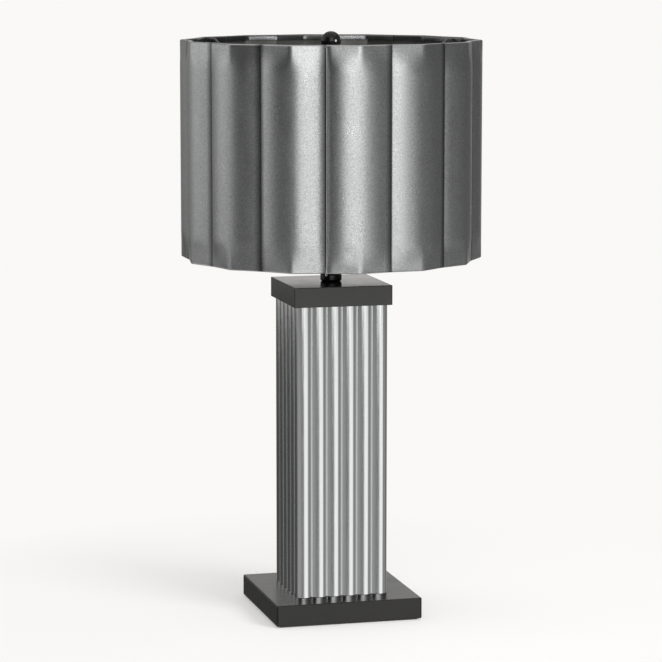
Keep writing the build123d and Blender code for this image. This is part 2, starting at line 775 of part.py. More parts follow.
def terminal_plane(side, reach):
    """A plane square to the terminal screw on that side, at that distance from the lamp's axis."""
    return Plane(origin=(side * reach, 0, knob_axis_height), z_dir=(side, 0, 0))


with BuildPart() as holder_body:
    with BuildSketch(Plane.XY.offset(body_bottom)):
        Circle(body_radius)
    extrude(amount=HOLDER_BODY_HEIGHT)
    fillet(holder_body.edges().group_by(Axis.Z)[0], HOLDER_BODY_EDGE_RADIUS)
    # pockets for the two terminal screws
    for side in (-1, 1):
        with BuildSketch(terminal_plane(side, body_radius)):
            Circle(TERMINAL_HEAD_DIAMETER / 2 + SEAT)
        extrude(amount=terminal_seat - body_radius, mode=Mode.SUBTRACT)
        with BuildSketch(terminal_plane(side, terminal_seat)):
            Circle(TERMINAL_SHANK_DIAMETER / 2 + FIT)
        extrude(amount=-TERMINAL_SHANK_LENGTH - SEAT, mode=Mode.SUBTRACT)
    # the switch shaft's bearing
    with BuildSketch(shaft_plane.offset(body_radius)):
        Circle(SHAFT_DIAMETER / 2 + FIT)
    extrude(amount=-body_radius, mode=Mode.SUBTRACT)

with BuildPart() as terminal_screws:
    for side in (-1, 1):
        with BuildSketch(terminal_plane(side, terminal_seat)):
            Circle(TERMINAL_HEAD_DIAMETER / 2)
        extrude(amount=TERMINAL_HEAD_HEIGHT)
        with BuildSketch(terminal_plane(side, terminal_seat)):
            Circle(TERMINAL_SHANK_DIAMETER / 2)
        extrude(amount=-TERMINAL_SHANK_LENGTH)

screw_shell = tube(
    body_top, SCREW_SHELL_HEIGHT, screw_shell_bore + SCREW_SHELL_WALL, screw_shell_bore
)

with BuildPart() as centre_contact:
    with BuildSketch(Plane.XY.offset(body_top)):
        Circle(CENTRE_CONTACT_RADIUS)
    extrude(amount=CENTRE_CONTACT_HEIGHT)
    fillet(centre_contact.edges().group_by(Axis.Z)[-1], CENTRE_CONTACT_EDGE_RADIUS)

# ---------------------------------------------------------------- switch shaft and knob
shaft_inner_end = body_radius - SHAFT_INNER_LENGTH

with BuildPart() as switch_shaft:
    with BuildSketch(shaft_plane.offset(shaft_inner_end)):
        Circle(SHAFT_DIAMETER / 2)
    extrude(amount=-knob_back + KNOB_BORE_DEPTH - shaft_inner_end)

with BuildPart() as switch_knob:
    with BuildSketch(shaft_plane.offset(-knob_back)):
        Circle(KNOB_DIAMETER / 2)
        with PolarLocations(KNOB_DIAMETER / 2, KNOB_FLUTES):
            Circle(KNOB_FLUTE_RADIUS, mode=Mode.SUBTRACT)
    extrude(amount=KNOB_LENGTH)
    fillet(switch_knob.edges().group_by(Axis.Y)[0], KNOB_EDGE_RADIUS)
    with BuildSketch(shaft_plane.offset(-knob_back)):
        Circle(SHAFT_DIAMETER / 2 + FIT)
    extrude(amount=KNOB_BORE_DEPTH, mode=Mode.SUBTRACT)

# ---------------------------------------------------------------- bulb
ball_radius = BULB_DIAMETER / 2
ball_centre = bulb_tip + BULB_LENGTH - ball_radius
neck_radius = BULB_NECK_DIAMETER / 2
neck_level = bulb_cap_top + SEAT
shoulder_turn = radians(BULB_SHOULDER_ANGLE)


def bulb_outline(inset):
    """Half of the bulb's outline: a round crown that runs into a drawn-in neck."""
    crown = ball_radius - inset
    neck = neck_radius - inset
    waist = (crown * cos(shoulder_turn), ball_centre - crown * sin(shoulder_turn))
    tangent = crown / 2
    CenterArc((0, ball_centre), crown, -degrees(shoulder_turn), 90 + degrees(shoulder_turn))
    Bezier(
        waist,
        (waist[0] - tangent * sin(shoulder_turn), waist[1] - tangent * cos(shoulder_turn)),
        (neck, neck_level + tangent),
        (neck, neck_level),
    )
    Polyline((neck, neck_level), (0, neck_level), (0, ball_centre + crown))


with BuildPart() as bulb_glass:
    with BuildSketch(Plane.XZ):
        with BuildLine():
            bulb_outline(0)
        make_face()
    revolve()
    with BuildSketch(Plane.XZ):
        with BuildLine():
            bulb_outline(BULB_GLASS_WALL)
        make_face()
    revolve(mode=Mode.SUBTRACT)

with BuildPart() as bulb_cap:
    with BuildSketch(Plane.XY.offset(bulb_cap_bottom)):
        Circle(bulb_cap_radius)
    extrude(amount=BULB_CAP_HEIGHT)
    with BuildSketch(Plane.XY.offset(bulb_cap_bottom + BULB_CAP_WALL)):
        Circle(bulb_cap_radius - BULB_CAP_WALL)
    extrude(amount=BULB_CAP_HEIGHT, mode=Mode.SUBTRACT)

with BuildPart() as bulb_insulator:
    with BuildSketch(Plane.XY.offset(insulator_bottom)):
        Circle(BULB_TIP_RADIUS + BULB_INSULATOR_MARGIN)
    with BuildSketch(Plane.XY.offset(bulb_cap_bottom)):
        Circle(bulb_cap_radius - BULB_INSULATOR_MARGIN)
    loft()

with BuildPart() as bulb_tip_contact:
    with BuildSketch(Plane.XY.offset(bulb_tip)):
        Circle(BULB_TIP_RADIUS)
    extrude(amount=BULB_TIP_HEIGHT)
    fillet(bulb_tip_contact.edges().group_by(Axis.Z)[0], BULB_TIP_HEIGHT / 2)

# ---------------------------------------------------------------- shade
shade_cover = scallop_sleeve(
    shade_bottom + TRIM_THICKNESS, shade_top - TRIM_THICKNESS, 0, COVER_THICKNESS
)
shade_backing = scallop_sleeve(
    shade_bottom + TRIM_THICKNESS,
    shade_top - TRIM_THICKNESS,
    COVER_THICKNESS + SLIP,
    COVER_THICKNESS + SLIP + BACKING_THICKNESS,
)
arm_angles = [
    radians(SPIDER_CLOCKING) + 2 * pi * arm / SPIDER_ARMS for arm in range(SPIDER_ARMS)
]
shade_upper_trim = rolled_trim(shade_top, 1, slits=arm_angles)
shade_lower_trim = rolled_trim(shade_bottom, -1)
shade_upper_ring = frame_ring(ring_level)
shade_lower_ring = frame_ring(lower_ring_level)

with BuildPart() as spider_hub:
    with BuildSketch(Plane.XY.offset(hub_bottom)):
        Circle(HUB_DIAMETER / 2)
        Circle(STUD_DIAMETER / 2 + HUB_HOLE_CLEARANCE, mode=Mode.SUBTRACT)
    extrude(amount=HUB_THICKNESS)

with BuildPart() as spider_arms:
    for angle in arm_angles:
        outer = ring_reach(angle)
        inner = FINIAL_COLLAR_DIAMETER / 2 + SPIDER_WIRE_DIAMETER / 2
        with BuildLine(arm_plane(angle)) as arm_path:
            FilletPolyline(
                (inner, arm_level),
                (outer - SPIDER_SHOULDER_LENGTH - SPIDER_DROP_HEIGHT, arm_level),
                (outer - SPIDER_SHOULDER_LENGTH, ring_level),
                (outer, ring_level),
                radius=SPIDER_BEND_RADIUS,
            )
        with BuildSketch(Plane(origin=arm_path.line @ 0, z_dir=arm_path.line % 0)):
            Circle(SPIDER_WIRE_DIAMETER / 2)
        sweep()

# ---------------------------------------------------------------- finial
collar_radius = FINIAL_COLLAR_DIAMETER / 2
insert_radius = FINIAL_INSERT_DIAMETER / 2

with BuildPart() as finial_ball:
    with Locations((0, 0, finial_centre)):
        Sphere(FINIAL_BALL_DIAMETER / 2)
    with BuildSketch(Plane.XY.offset(finial_bottom)):
        Circle(collar_radius)
    extrude(amount=finial_centre - finial_bottom)
    with BuildSketch(Plane.XY.offset(finial_bottom)):
        Circle(insert_radius + FIT)
    extrude(amount=FINIAL_INSERT_LENGTH + SEAT, mode=Mode.SUBTRACT)

with BuildPart() as finial_insert:
    with BuildSketch(Plane.XY.offset(finial_bottom)):
        Circle(insert_radius)
    extrude(amount=FINIAL_INSERT_LENGTH)
    with BuildSketch(Plane.XY.offset(finial_bottom)):
        Circle(STUD_DIAMETER / 2 + FIT)
    extrude(amount=STUD_THREAD_LENGTH + SEAT, mode=Mode.SUBTRACT)

# ---------------------------------------------------------------- export
pieces = {
    "base_plate": base_plate,
    "felt_pad": felt_pad,
    "cord_inlet": cord_inlet,
    "column_shell": column_shell,
    "column_lower_plate": column_lower_plate,
    "column_upper_plate": column_upper_plate,
    "lower_plate_screws": lower_plate_screws,
    "upper_plate_screws": upper_plate_screws,
    "cap_plate": cap_plate,
    "threaded_rod": threaded_rod,
    "base_washer": base_washer,
    "base_nut": base_nut,
    "cap_washer": cap_washer,
    "cap_nut": cap_nut,
    "neck_collar": neck_collar,
    "harp_saddle": harp_saddle,
    "harp_bow": harp_bow,
    "harp_bridge": harp_bridge,
    "harp_stud": harp_stud,
    "ferrule_left": ferrule_left,
    "ferrule_right": ferrule_right,
    "holder_dome": holder_dome,
    "holder_shell": holder_shell,
    "holder_liner": holder_liner,
    "holder_body": holder_body,
    "terminal_screws": terminal_screws,
    "screw_shell": screw_shell,
    "centre_contact": centre_contact,
    "switch_shaft": switch_shaft,
    "switch_knob": switch_knob,
    "bulb_glass": bulb_glass,
    "bulb_cap": bulb_cap,
    "bulb_insulator": bulb_insulator,
    "bulb_tip_contact": bulb_tip_contact,
    "shade_cover": shade_cover,
    "shade_backing": shade_backing,
    "shade_upper_trim": shade_upper_trim,
    "shade_lower_trim": shade_lower_trim,
    "shade_upper_ring": shade_upper_ring,
    "shade_lower_ring": shade_lower_ring,
    "spider_hub": spider_hub,
    "spider_arms": spider_arms,
    "finial_ball": finial_ball,
    "finial_insert": finial_insert,
}

os.makedirs("parts", exist_ok=True)
for name, piece in pieces.items():
    piece.part.label = name
    export_step(piece.part, f"parts/{name}.step")
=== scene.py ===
"""The looks of the column table lamp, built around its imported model.

Metres, +Z up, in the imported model's frame: the middle of the base's underside is the origin and
the front of the lamp looks along -Y.
"""

import json
import math

import bmesh
import bpy
from mathutils import Euler, Matrix, Vector

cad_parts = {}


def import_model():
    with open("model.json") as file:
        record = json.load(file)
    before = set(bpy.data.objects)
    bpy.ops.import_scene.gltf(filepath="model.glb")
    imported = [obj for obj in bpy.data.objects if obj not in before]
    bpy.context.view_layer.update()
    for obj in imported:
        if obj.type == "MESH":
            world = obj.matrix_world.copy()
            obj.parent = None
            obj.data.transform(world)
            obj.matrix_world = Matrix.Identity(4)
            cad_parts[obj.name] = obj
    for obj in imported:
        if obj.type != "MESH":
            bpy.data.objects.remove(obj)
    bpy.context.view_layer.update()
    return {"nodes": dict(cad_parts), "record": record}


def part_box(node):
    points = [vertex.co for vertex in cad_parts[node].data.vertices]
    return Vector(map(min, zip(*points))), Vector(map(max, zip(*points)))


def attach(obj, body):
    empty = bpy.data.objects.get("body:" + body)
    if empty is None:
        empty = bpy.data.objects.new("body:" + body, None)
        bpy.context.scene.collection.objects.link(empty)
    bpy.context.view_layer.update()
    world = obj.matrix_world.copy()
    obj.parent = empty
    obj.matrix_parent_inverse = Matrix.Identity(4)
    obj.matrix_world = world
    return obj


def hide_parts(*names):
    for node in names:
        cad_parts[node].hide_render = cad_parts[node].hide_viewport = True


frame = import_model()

MM = 0.001
# edges over this many degrees stay sharp, unless a piece says otherwise
SHARP_ANGLE = 35
# points closer together than this become one
MERGE_DISTANCE = 0.002 * MM

# ---------------------------------------------------------------- sizes
# camera, as fitted to the photograph
CAMERA_AZIMUTH = math.radians(14.67)
CAMERA_PITCH = math.radians(7.9)
CAMERA_DISTANCE = 3.423
CAMERA_HEIGHT = 0.8118
CAMERA_LENS = 157.7
SENSOR_WIDTH = 36.0

# fluted column
COLUMN_SIDE = 112.0 * MM
FULL_REEDS_PER_SIDE = 4
REED_PITCH = 18.3 * MM
REED_DEPTH = 3.9 * MM
REED_VALLEY_RADIUS = 0.9 * MM
REED_END_EASE = 0.25 * MM
SHEET_THICKNESS = 1.2 * MM

# blocks
BASE_CORNER_RADIUS = 2.5 * MM
BASE_EDGE_RADIUS = 1.6 * MM
CAP_CORNER_RADIUS = 1.2 * MM
CAP_EDGE_RADIUS = 0.8 * MM
# points this far beyond each round keep the flats shaded flat
BESIDE_ROUND = 0.3 * MM
# how fast a block's corners tighten towards its top and bottom
CORNER_TIGHTENING = 0.6

# shade
SHADE_RADIUS = 178.0 * MM
SCALLOPS = 14
SCALLOP_VALLEY_DEPTH = 7.8 * MM
SCALLOP_BULGE = 3.3 * MM
SHADE_CLOCKING = math.radians(-3.8)
COVER_THICKNESS = 1.6 * MM
BACKING_THICKNESS = 0.6 * MM
LAMINATE_GAP = 0.15 * MM
# how far from each rim the cover takes to bow out from the rim's straight flanks
UPPER_FLAT = 32.0 * MM
LOWER_FLAT = 32.0 * MM
# how much less the right flanks bow towards their valleys
FLATTER_RIGHT = 0.6
# the points of a flank crowd towards its valley by this power
VALLEY_CROWDING = 1.6
# a point this close to a valley, as a share of its scallop, is in it
VALLEY_SHARE = 0.002

# hems, which the cover turns in over the rings
TRIM_THICKNESS = 0.8 * MM
TRIM_HEIGHT = 6.0 * MM
TRIM_INSET = 5.65 * MM
HEM_DROP = 2.5 * MM
HEM_OUTER_ROUND = 2.0 * MM
HEM_TURN_ROUND = 2.4 * MM
HEM_INNER_ROUND = 0.8 * MM

# painted shade in the folds: its reach before and after each valley, anticlockwise, and in the one
# darkest fold
SHADE_PAINTED_BEFORE = 8.5 * MM
SHADE_PAINTED_AFTER = 1.5 * MM
DARKEST_FOLD_SCALLOP = 9
DARKEST_FOLD_AFTER = 6.0 * MM
# painted shade inside the hems: it starts this deep inwards and darkens by this share
HEM_SHADE_DEPTH = 2.6 * MM
HEM_PAINTED_SHADE = 0.75
# what is left of the velvet's colour where its painted shade is at its darkest
PAINTED_SHADE_TONE = 0.16

# the lapped seam, in the valley before this scallop, and the crease either side of it
SEAM_SCALLOP = 10
CREASE_DEPTH = 1.9 * MM
CREASE_WIDTH = {2 * SEAM_SCALLOP - 1: 11.0 * MM, 2 * SEAM_SCALLOP: 7.0 * MM}
SEAM_STEPS = 24
SEAM_EDGE_BESIDE = 1.1 * MM
SEAM_EDGE_PROUD = 0.35 * MM
SEAM_EDGE_SHORT = 2 * MM
SEAM_EDGE_RADIUS = 0.3 * MM
SEAM_LOOP_RADIUS = 0.22 * MM
# the loose loop at its lower end: millimetres beside the seam, above the hem and proud of it
SEAM_LOOP = [
    (0.6, 4.0, 0.5), (0.2, 1.5, 0.9), (-0.4, 0.0, 1.2), (-0.5, -1.6, 1.0), (0.5, -2.4, 0.9),
    (1.4, -1.6, 1.0), (1.4, 0.2, 1.2), (1.0, 2.0, 0.9), (0.9, 4.2, 0.5),
]

# floor
FLOOR_HALF = 12.0
FLOOR_DROP = 0.2 * MM
# how far from the lamp the paper begins and ends its fade into the background
FADE_START = 0.16
FADE_END = 0.6
# the background's share of the paper near the lamp
NEAR_GLOW = 0.35
BACKGROUND = (0.955, 0.945, 0.93, 1)
PAPER = (0.91, 0.905, 0.895, 1)
# the paper as the lamp's diffuse surfaces see it
DIM_PAPER = (0.8, 0.8, 0.79, 1)

half_scallop = math.pi / SCALLOPS


# ---------------------------------------------------------------- mesh tools
def link_mesh(name, verts, faces, sharp_angle):
    """A linked mesh object with outward normals, smooth except across edges over sharp_angle."""
    mesh = bpy.data.meshes.new(name)
    mesh.from_pydata(verts, [], faces)
    shape = bmesh.new()
    shape.from_mesh(mesh)
    bmesh.ops.remove_doubles(shape, verts=shape.verts, dist=MERGE_DISTANCE)
    bmesh.ops.recalc_face_normals(shape, faces=shape.faces)
    shape.to_mesh(mesh)
    shape.free()
    mesh.shade_smooth()
    mesh.set_sharp_from_angle(angle=math.radians(sharp_angle))
    made = bpy.data.objects.new(name, mesh)
    bpy.context.scene.collection.objects.link(made)
    return made


def skin(name, loops, caps=False, closed=False, sharp_angle=SHARP_ANGLE):
    """A mesh through loops of as many points each, joined to one another and round.

    caps closes the first and last loop, and closed joins the last loop to the first.
    """
    count = len(loops[0])
    verts = [point for loop in loops for point in loop]
    pairs = list(zip(range(len(loops)), range(1, len(loops))))
    if closed:
        pairs.append((len(loops) - 1, 0))
    faces = []
    for near, far in pairs:
        for i in range(count):
            j = (i + 1) % count
            faces.append((near * count + i, near * count + j, far * count + j, far * count + i))
    if caps:
        last = (len(loops) - 1) * count
        faces.append(tuple(reversed(range(count))))
        faces.append(tuple(range(last, last + count)))
    return link_mesh(name, verts, faces, sharp_angle)


def rounded(points, radii, steps=6):
    """The polyline through these 2-D points, with an arc of that radius at each inner corner."""
    made = [Vector(points[0])]
    for before, corner, after, radius in zip(points, points[1:], points[2:], radii):
        before, corner, after = Vector(before), Vector(corner), Vector(after)
        back = (before - corner).normalized()
        on = (after - corner).normalized()
        half = back.angle(on) / 2
        reach = radius / math.tan(half)
        centre = corner + (back + on).normalized() * (radius / math.sin(half))
        start = corner + back * reach - centre
        end = corner + on * reach - centre
        turn = start.angle(end)
        for step in range(steps + 1):
            share = step / steps
            arm = start * (math.sin((1 - share) * turn) / math.sin(turn))
            arm = arm + end * (math.sin(share * turn) / math.sin(turn))
            made.append(centre + arm)
    made.append(Vector(points[-1]))
    return made


def divided(profile, longest=4.5 * MM):
    """The same profile with its long stretches cut up, so that they can follow the arch."""
    made = [profile[0]]
    for near, far in zip(profile, profile[1:]):
        pieces = max(1, math.ceil((far - near).length / longest))
        made += [near.lerp(far, piece / pieces) for piece in range(1, pieces + 1)]
    return made


def dress(piece, body, slot, material, *nodes):
    """Gives a made piece its material and its body, and hides the CAD nodes it stands for; its slot is
    not used.
    """
    piece.data.materials.clear()
    piece.data.materials.append(material)
    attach(piece, body)
    if nodes:
        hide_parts(*nodes)
    return piece


# ---------------------------------------------------------------- materials
def new_material(name, metallic=0.0, **sockets):
    """A material with one Principled shader; sockets are its other uniform values."""
    made = bpy.data.materials.new(name)
    made.use_nodes = True
    shader = made.node_tree.nodes["Principled BSDF"]
    shader.inputs["Metallic"].default_value = metallic
    for socket, value in sockets.items():
        shader.inputs[socket.replace("_", " ")].default_value = value
    return made, made.node_tree, shader


def noise_of(tree, scale, stretch=(1, 1, 1), detail=2.0, roughness=0.5):
    """A noise texture's value output, in the object's own coordinates, stretched along its axes."""
    place = tree.nodes.new("ShaderNodeTexCoord")
    mapping = tree.nodes.new("ShaderNodeMapping")
    mapping.inputs["Scale"].default_value = stretch
    texture = tree.nodes.new("ShaderNodeTexNoise")
    texture.inputs["Scale"].default_value = scale
    texture.inputs["Detail"].default_value = detail
    texture.inputs["Roughness"].default_value = roughness
    tree.links.new(place.outputs["Object"], mapping.inputs["Vector"])
    tree.links.new(mapping.outputs["Vector"], texture.inputs["Vector"])
    return texture.outputs[0]


def ramp(tree, source, low, high, start=0.3, end=0.7):
    """Maps source to a range, linearly between start and end."""
    node = tree.nodes.new("ShaderNodeMapRange")
    node.inputs["From Min"].default_value = start
    node.inputs["From Max"].default_value = end
    node.inputs["To Min"].default_value = low
    node.inputs["To Max"].default_value = high
    tree.links.new(source, node.inputs["Value"])
    return node.outputs["Result"]


def tint(tree, source, dark, light, start=0.3, end=0.7):
    """Maps source to a colour between dark and light."""
    node = tree.nodes.new("ShaderNodeValToRGB")
    node.color_ramp.elements[0].position = start
    node.color_ramp.elements[0].color = (*dark, 1)
    node.color_ramp.elements[1].position = end
    node.color_ramp.elements[1].color = (*light, 1)
    tree.links.new(source, node.inputs["Fac"])
    return node.outputs["Color"]


def bump(tree, shader, source, distance, strength, under=None):
    """Bumps the shader's surface by source, over an earlier bump if there is one."""
    node = tree.nodes.new("ShaderNodeBump")
    node.inputs["Distance"].default_value = distance
    node.inputs["Strength"].default_value = strength
    tree.links.new(source, node.inputs["Height"])
    if under:
        tree.links.new(under, node.inputs["Normal"])
    tree.links.new(node.outputs["Normal"], shader.inputs["Normal"])
    return node.outputs["Normal"]


def velvet_material(dark, light):
    """Short-pile velvet: satin where it catches the light, grainy, and darkened by painted shade in
    the folds and inside the hems.
    """
    made, tree, shader = new_material("velvet", metallic=0.97, Specular_IOR_Level=0.4)
    shader.inputs["Sheen Weight"].default_value = 0.02
    shader.inputs["Sheen Roughness"].default_value = 0.35
    shader.inputs["Sheen Tint"].default_value = (0.9, 0.95, 1.0, 1)
    pile = noise_of(tree, 700, detail=3, roughness=0.65)
    lay = noise_of(tree, 60, stretch=(1, 1, 0.4), detail=3)
    plain = tint(tree, pile, dark, light, 0.35, 0.65)
    # painted shade: the colour darkens by the attribute that paints shade into the folds and hems
    painted_shade = tree.nodes.new("ShaderNodeAttribute")
    painted_shade.attribute_name = "painted_shade"
    depth = ramp(tree, painted_shade.outputs["Fac"], 1.0, PAINTED_SHADE_TONE, 0.0, 1.0)
    shaded = tree.nodes.new("ShaderNodeVectorMath")
    shaded.operation = "SCALE"
    tree.links.new(plain, shaded.inputs[0])
    tree.links.new(depth, shaded.inputs["Scale"])
    tree.links.new(shaded.outputs["Vector"], shader.inputs["Base Color"])
    tree.links.new(ramp(tree, lay, 0.26, 0.33), shader.inputs["Roughness"])
    under = bump(tree, shader, lay, 0.25 * MM, 0.3)
    bump(tree, shader, pile, 0.24 * MM, 0.5, under)
    return made


def lining_material():
    """Plain-woven lining with a dull shine."""
    made, tree, shader = new_material("lining", metallic=0.6, Specular_IOR_Level=0.4)
    weft = noise_of(tree, 700, stretch=(1, 1, 4), detail=1)
    cloud = noise_of(tree, 30, detail=3)
    color = tint(tree, cloud, (0.085, 0.085, 0.083), (0.12, 0.12, 0.117))
    tree.links.new(color, shader.inputs["Base Color"])
    tree.links.new(ramp(tree, weft, 0.34, 0.46), shader.inputs["Roughness"])
    bump(tree, shader, weft, 0.15 * MM, 0.5)
    return made


def brushed_material(name, dark, light, low, high):
    """Metal with fine upright lines."""
    made, tree, shader = new_material(name, metallic=1.0)
    lines = noise_of(tree, 2600, stretch=(1, 1, 0.012), detail=2)
    cloud = noise_of(tree, 18, detail=3)
    tree.links.new(tint(tree, lines, dark, light), shader.inputs["Base Color"])
    tree.links.new(ramp(tree, lines, low, high), shader.inputs["Roughness"])
    under = bump(tree, shader, cloud, 0.05 * MM, 0.3)
    bump(tree, shader, lines, 0.01 * MM, 0.6, under)
    return made


def smooth_material(name, dark, light, low, high, metallic=0.0, relief=0.02, scale=350, **sockets):
    """Paint, lacquer, plastic or polished metal: faint clouding and a trace of orange peel."""
    made, tree, shader = new_material(name, metallic=metallic, **sockets)
    peel = noise_of(tree, scale, detail=2)
    cloud = noise_of(tree, 25, detail=4)
    tree.links.new(tint(tree, cloud, dark, light), shader.inputs["Base Color"])
    tree.links.new(ramp(tree, cloud, low, high), shader.inputs["Roughness"])
    bump(tree, shader, peel, relief * MM, 0.5)
    return made


def felt_material():
    """Pressed black felt."""
    made, tree, shader = new_material("felt", Specular_IOR_Level=0.1)
    fibres = noise_of(tree, 1100, detail=4, roughness=0.7)
    color = tint(tree, fibres, (0.012, 0.012, 0.012), (0.04, 0.04, 0.04))
    tree.links.new(color, shader.inputs["Base Color"])
    tree.links.new(ramp(tree, fibres, 0.85, 1.0), shader.inputs["Roughness"])
    bump(tree, shader, fibres, 0.4 * MM, 0.8)
    return made


def bulb_material():
    """Frosted white glass."""
    made, tree, shader = new_material("frosted_glass", Specular_IOR_Level=0.5)
    frost = noise_of(tree, 400, detail=3)
    color = tint(tree, frost, (0.82, 0.82, 0.8), (0.9, 0.9, 0.88))
    tree.links.new(color, shader.inputs["Base Color"])
    tree.links.new(ramp(tree, frost, 0.25, 0.38), shader.inputs["Roughness"])
    shader.inputs["Subsurface Weight"].default_value = 0.3
    shader.inputs["Subsurface Radius"].default_value = (0.01, 0.01, 0.01)
    bump(tree, shader, frost, 0.01 * MM, 0.3)
    return made


velvet = velvet_material((0.27, 0.276, 0.28), (0.43, 0.44, 0.446))
selvedge = smooth_material(
    "selvedge", (0.42, 0.42, 0.41), (0.58, 0.58, 0.57), 0.45, 0.6,
    metallic=0.4, relief=0.06, scale=1500,
)
lining = lining_material()
column_metal = brushed_material("column_metal", (0.52, 0.54, 0.545), (0.60, 0.61, 0.61), 0.08, 0.13)
# the base's and the cap's copies of one black lacquer: the cap's is lighter in colour, painted light
# for the better-lit cap, and glossier
lacquer = smooth_material(
    "lacquer", (0.006, 0.0057, 0.0053), (0.01, 0.0096, 0.0092), 0.24, 0.3, Specular_IOR_Level=0.33
)
lit_cap_lacquer = smooth_material(
    "lit_cap_lacquer", (0.01, 0.01, 0.0097), (0.016, 0.016, 0.0155), 0.13, 0.18, Specular_IOR_Level=0.46
)
gloss_black = smooth_material(
    "gloss_black", (0.004, 0.004, 0.004), (0.008, 0.008, 0.008), 0.07, 0.1, Specular_IOR_Level=0.24
)
black_plastic = smooth_material("black_plastic", (0.012, 0.012, 0.012), (0.02, 0.02, 0.02), 0.25, 0.35)
nickel = smooth_material("nickel", (0.16, 0.155, 0.15), (0.24, 0.235, 0.225), 0.22, 0.34, metallic=1.0)
zinc = smooth_material("zinc", (0.5, 0.5, 0.5), (0.62, 0.62, 0.61), 0.3, 0.45, metallic=1.0)
brass = smooth_material("brass", (0.66, 0.45, 0.17), (0.78, 0.56, 0.24), 0.22, 0.35, metallic=1.0)
aluminium = smooth_material("aluminium", (0.7, 0.7, 0.7), (0.8, 0.8, 0.8), 0.28, 0.38, metallic=1.0)
wire_paint = smooth_material("wire_paint", (0.05, 0.05, 0.05), (0.08, 0.08, 0.08), 0.35, 0.5)
fibre = smooth_material("fibre", (0.07, 0.06, 0.05), (0.11, 0.1, 0.085), 0.6, 0.75, relief=0.05)
felt = felt_material()
frosted_glass = bulb_material()

node_material = {
    "felt": felt,
    "black_plastic": black_plastic,
    "black_lacquer": lacquer,
    "brushed_metal": column_metal,
    "plated_steel": zinc,
    "black_gloss": gloss_black,
    "hardware_metal": nickel,
    "fibre": fibre,
    "brass": brass,
    "bulb_glass": frosted_glass,
    "bulb_metal": aluminium,
    "velvet": velvet,
    "hem_velvet": velvet,
    "shade_lining": lining,
    "frame_wire": wire_paint,
}
for subpart in frame["record"]["subparts"]:
    node = frame["nodes"][subpart["node"]]
    node.data.materials.clear()
    node.data.materials.append(node_material[subpart["material_slot"]])
    node.data.shade_smooth()
    node.data.set_sharp_from_angle(angle=math.radians(SHARP_ANGLE))


# ---------------------------------------------------------------- fluted column
def arc_points(centre, radius, start, end, steps):
    """Points along an arc, from angle start to angle end."""
    angles = [start + (end - start) * step / steps for step in range(steps + 1)]
    return [centre + Vector((math.cos(a), math.sin(a))) * radius for a in angles]


def reed_circle(middle, half_width):
    """Centre and radius of the reed whose crest is at middle on the front face."""
    radius = (half_width**2 + REED_DEPTH**2) / (2 * REED_DEPTH)
    return Vector((middle, -COLUMN_SIDE / 2 + radius)), radius


def valley_circle(left, right):
    """Centre of the small round that fills the valley between two reeds, outside both."""
    (near, near_radius), (far, far_radius) = left, right
    a = near_radius + REED_VALLEY_RADIUS
    b = far_radius + REED_VALLEY_RADIUS
    gap = (far - near).length
    along = (a * a - b * b + gap * gap) / (2 * gap)
    drop = math.sqrt(a * a - along * along)
    way = (far - near).normalized()
    return near + way * along + Vector((way.y, -way.x)) * drop


def direction(start, end):
    """The angle of the line from start to end."""
    return math.atan2(end.y - start.y, end.x - start.x)


def front_outline(steps=14):
    """The column's front side, from its left corner crest round its right corner, anticlockwise."""
    outer_valley = FULL_REEDS_PER_SIDE * REED_PITCH / 2
    corner_radius = (COLUMN_SIDE / 2 - outer_valley) / 2
    crest = COLUMN_SIDE / 2 - corner_radius
    reeds = [reed_circle(-crest, corner_radius)]
    for reed in range(FULL_REEDS_PER_SIDE):
        middle = -outer_valley + REED_PITCH * (reed + 0.5)
        reeds.append(reed_circle(middle, REED_PITCH / 2))
    reeds.append(reed_circle(crest, corner_radius))
    points = []
    start = -math.pi / 2
    for left, right in zip(reeds, reeds[1:]):
        valley = valley_circle(left, right)
        points += arc_points(left[0], left[1], start, direction(left[0], valley), steps)
        into = direction(valley, left[0])
        out = direction(valley, right[0])
        points += arc_points(valley, REED_VALLEY_RADIUS, into, out, steps // 2)[1:-1]
        start = direction(right[0], valley)
    points += arc_points(*reeds[-1], start, -math.pi / 2, steps // 2)
    corner = Vector((crest, -crest))
    points += arc_points(corner, corner_radius, -math.pi / 2, 0, steps)[1:-1]
    return points


def offset_loop(points, distance):
    """A closed 2-D loop moved in by that distance along its own normals."""
    moved = []
    for before, here, after in zip(points[-1:] + points, points, points[1:] + points[:1]):
        along = (after - before).normalized()
        moved.append(here + Vector((-along.y, along.x)) * distance)
    return moved


def fluted_column():
    """The column's sheet, with its edges eased at both ends."""
    low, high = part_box("column_shell")
    outline = []
    for side in range(4):
        turn = Matrix.Rotation(side * math.pi / 2, 2)
        outline += [turn @ point for point in front_outline()]
    inner = offset_loop(outline, SHEET_THICKNESS)
    eased = offset_loop(outline, REED_END_EASE)
    levels = [
        (inner, low.z),
        (eased, low.z),
        (outline, low.z + REED_END_EASE),
        (outline, high.z - REED_END_EASE),
        (eased, high.z),
        (inner, high.z),
    ]
    loops = [[(p.x, p.y, height) for p in loop] for loop, height in levels]
    return skin("fluted_column", loops, closed=True, sharp_angle=30)


dress(fluted_column(), "root", "brushed_metal", column_metal, "column_shell")


# ---------------------------------------------------------------- base and cap
def square_loop(half, corner, height, steps=8):
    """A rounded square about the lamp's axis, with a point just beyond each end of its corners."""
    points = []
    for quarter in range(4):
        spin = Matrix.Rotation(quarter * math.pi / 2, 2)
        centre = Vector((half - corner, half - corner))
        arc = [Vector((half, half - corner - BESIDE_ROUND))]
        arc += arc_points(centre, corner, 0, math.pi / 2, steps)
        arc.append(Vector((half - corner - BESIDE_ROUND, half)))
        points += [(*(spin @ p), height) for p in arc]
    return points


